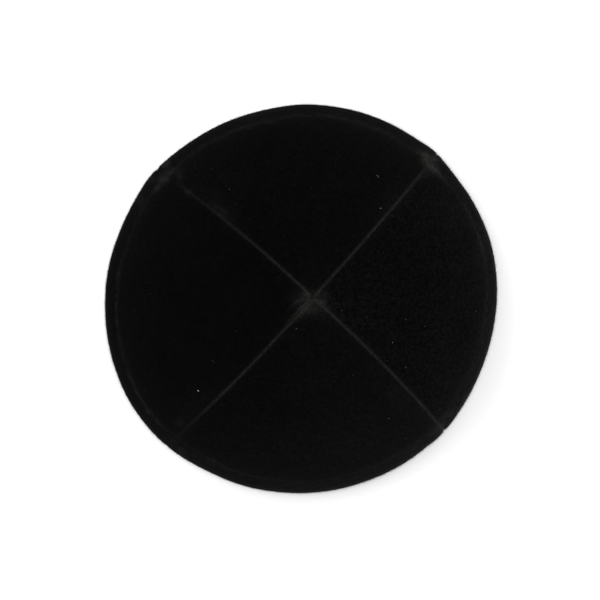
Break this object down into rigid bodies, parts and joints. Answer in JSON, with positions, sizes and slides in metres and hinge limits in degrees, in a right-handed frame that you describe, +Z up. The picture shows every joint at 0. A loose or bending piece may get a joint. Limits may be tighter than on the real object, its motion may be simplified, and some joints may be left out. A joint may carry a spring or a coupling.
{
  "type": "kippah skullcap",
  "caption": "Low domed skullcap of velvet gores whose seams cross near the top, with a turned-under, topstitched hem that it rests on.",
  "frame": {"origin": "bottom centre of the box round the cap, on the surface that the hem rests on", "axes": "+Z up out of the dome; +X to the cap's right and +Y to its back, as the picture shows it from above with its top edge at the back"},
  "size_m": [0.1664, 0.1648, 0.0529],
  "materials": {
    "velvet": "matt black pile with a soft sheen"
  },
  "bodies": {
    "root": {"panel_front": "velvet", "panel_right": "velvet", "panel_back": "velvet", "panel_left": "velvet"}
  },
  "joints": []
}
